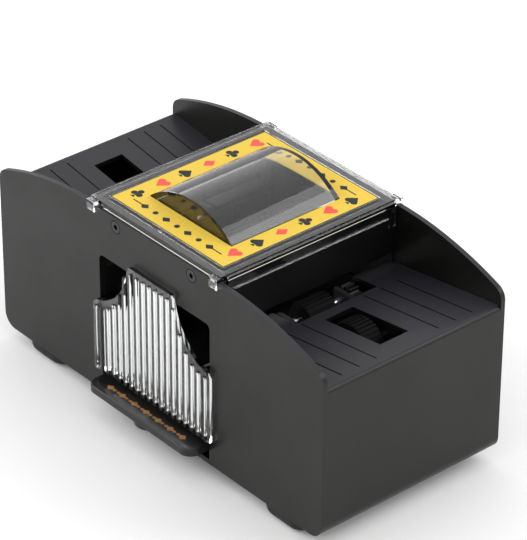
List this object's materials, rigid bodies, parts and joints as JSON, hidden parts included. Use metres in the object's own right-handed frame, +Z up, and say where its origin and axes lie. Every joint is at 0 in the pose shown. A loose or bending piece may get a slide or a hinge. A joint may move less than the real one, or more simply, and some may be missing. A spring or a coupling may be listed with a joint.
{
  "type": "automatic card shuffler",
  "caption": "Two-sided motor-driven card shuffler with sloped end trays, clear drawer and cover, and a front press bar.",
  "frame": {"origin": "centre of the overall footprint, on the surface the feet stand on", "axes": "+X along the length to the right-hand tray, -Y to the front with the drawer and the press bar, +Z up"},
  "size_m": [0.206, 0.1074, 0.1076],
  "materials": {
    "black_abs": "fine moulded texture",
    "clear_plastic": "clear moulded acrylic, polished",
    "printed_card": "printed film, golden yellow with a black border",
    "bar_plastic": "satin moulded plastic",
    "rubber": "matt rubber",
    "black_steel": "black oxide, round head",
    "steel": "turned and polished",
    "white_plastic": "moulded nylon",
    "plated_brass": "stamped, nickel plated",
    "bracket_plastic": "moulded plastic",
    "motor_steel": "drawn and zinc plated",
    "gear_plastic": "moulded acetal",
    "tyre_rubber": "soft rubber"
  },
  "bodies": {
    "casing": {"upper_housing": "black_abs", "lower_housing": "black_abs", "center_frame": "black_abs", "foot_front_left": "rubber", "foot_front_right": "rubber", "foot_rear_left": "rubber", "foot_rear_right": "rubber", "side_screws": "black_steel", "base_screws": "black_steel", "bracket_screws": "black_steel", "press_bar_pin": "steel", "press_bar_springs": "steel", "switch_block": "white_plastic", "switch_lower_leaf": "plated_brass", "switch_upper_leaf": "plated_brass", "battery_contact_plates": "plated_brass", "battery_springs": "plated_brass", "right_drive_bracket": "bracket_plastic", "right_motor_can": "motor_steel", "right_motor_cap": "white_plastic", "right_idler_stud": "steel", "right_step_stud": "steel", "left_drive_bracket": "bracket_plastic", "left_motor_can": "motor_steel", "left_motor_cap": "white_plastic", "left_idler_stud": "steel", "left_step_stud": "steel"},
    "cover": {"top_cover": "clear_plastic", "card_label": "printed_card"},
    "drawer": {"card_drawer": "clear_plastic"},
    "press_bar": {"press_bar": "bar_plastic"},
    "door": {"battery_door": "black_abs"},
    "right_feed": {"right_feed_hub": "gear_plastic", "right_feed_tyre": "tyre_rubber", "right_feed_shaft": "steel", "right_feed_gear": "gear_plastic"},
    "right_exit": {"right_exit_roller": "tyre_rubber", "right_exit_shaft": "steel", "right_exit_gear": "gear_plastic"},
    "right_idler": {"right_idler_gear": "gear_plastic"},
    "right_step": {"right_step_gear": "gear_plastic", "right_wheel_gear": "gear_plastic"},
    "right_motor": {"right_motor_shaft": "steel", "right_motor_pinion": "gear_plastic"},
    "left_feed": {"left_feed_hub": "gear_plastic", "left_feed_tyre": "tyre_rubber", "left_feed_shaft": "steel", "left_feed_gear": "gear_plastic"},
    "left_exit": {"left_exit_roller": "tyre_rubber", "left_exit_shaft": "steel", "left_exit_gear": "gear_plastic"},
    "left_idler": {"left_idler_gear": "gear_plastic"},
    "left_step": {"left_step_gear": "gear_plastic", "left_wheel_gear": "gear_plastic"},
    "left_motor": {"left_motor_shaft": "steel", "left_motor_pinion": "gear_plastic"}
  },
  "joints": [
    {"name": "cover_lift", "type": "slide", "parent": "casing", "child": "cover", "axis": [0, 0, 1], "range_m": [0, 0.03]},
    {"name": "drawer_slide", "type": "slide", "parent": "casing", "child": "drawer", "axis": [0, -1, 0], "range_m": [0, 0.095]},
    {"name": "press_bar_tilt", "type": "hinge", "parent": "casing", "child": "press_bar", "pos_m": [0, -0.0227, 0.0141], "axis": [1, 0, 0], "range_deg": [0, 6], "stiffness_Nm_per_rad": 0.3, "springref_deg": -2.86, "deforming": ["press_bar_springs"]},
    {"name": "battery_door_lift", "type": "slide", "parent": "casing", "child": "door", "axis": [0, 0, -1], "range_m": [0, 0.006]},
    {"name": "right_feed_spin", "type": "hinge", "parent": "casing", "child": "right_feed", "pos_m": [0.07, 0.0043, 0.0608], "axis": [0, 1, 0], "continuous": true},
    {"name": "right_exit_spin", "type": "hinge", "parent": "casing", "child": "right_exit", "pos_m": [0.04301, 0.0043, 0.06331], "axis": [0, 1, 0], "continuous": true},
    {"name": "right_idler_spin", "type": "hinge", "parent": "casing", "child": "right_idler", "pos_m": [0.05437, 0.0043, 0.05739], "axis": [0, 1, 0], "continuous": true},
    {"name": "right_step_spin", "type": "hinge", "parent": "casing", "child": "right_step", "pos_m": [0.07849, 0.0043, 0.05232], "axis": [0, 1, 0], "continuous": true},
    {"name": "right_motor_spin", "type": "hinge", "parent": "casing", "child": "right_motor", "pos_m": [0.08242, 0.0043, 0.04151], "axis": [0, 1, 0], "continuous": true},
    {"name": "left_feed_spin", "type": "hinge", "parent": "casing", "child": "left_feed", "pos_m": [-0.07, 0.0043, 0.0608], "axis": [0, 1, 0], "continuous": true},
    {"name": "left_exit_spin", "type": "hinge", "parent": "casing", "child": "left_exit", "pos_m": [-0.04301, 0.0043, 0.06331], "axis": [0, 1, 0], "continuous": true},
    {"name": "left_idler_spin", "type": "hinge", "parent": "casing", "child": "left_idler", "pos_m": [-0.05437, 0.0043, 0.05739], "axis": [0, 1, 0], "continuous": true},
    {"name": "left_step_spin", "type": "hinge", "parent": "casing", "child": "left_step", "pos_m": [-0.07849, 0.0043, 0.05232], "axis": [0, 1, 0], "continuous": true},
    {"name": "left_motor_spin", "type": "hinge", "parent": "casing", "child": "left_motor", "pos_m": [-0.08242, 0.0043, 0.04151], "axis": [0, 1, 0], "continuous": true}
  ],
  "couplings": [
    {"joint": "right_idler_spin", "follows": "right_feed_spin", "ratio": -1},
    {"joint": "right_exit_spin", "follows": "right_feed_spin", "ratio": 1.6667},
    {"joint": "right_step_spin", "follows": "right_feed_spin", "ratio": -2},
    {"joint": "right_motor_spin", "follows": "right_feed_spin", "ratio": 7.2},
    {"joint": "left_idler_spin", "follows": "left_feed_spin", "ratio": -1},
    {"joint": "left_exit_spin", "follows": "left_feed_spin", "ratio": 1.6667},
    {"joint": "left_step_spin", "follows": "left_feed_spin", "ratio": -2},
    {"joint": "left_motor_spin", "follows": "left_feed_spin", "ratio": 7.2}
  ]
}
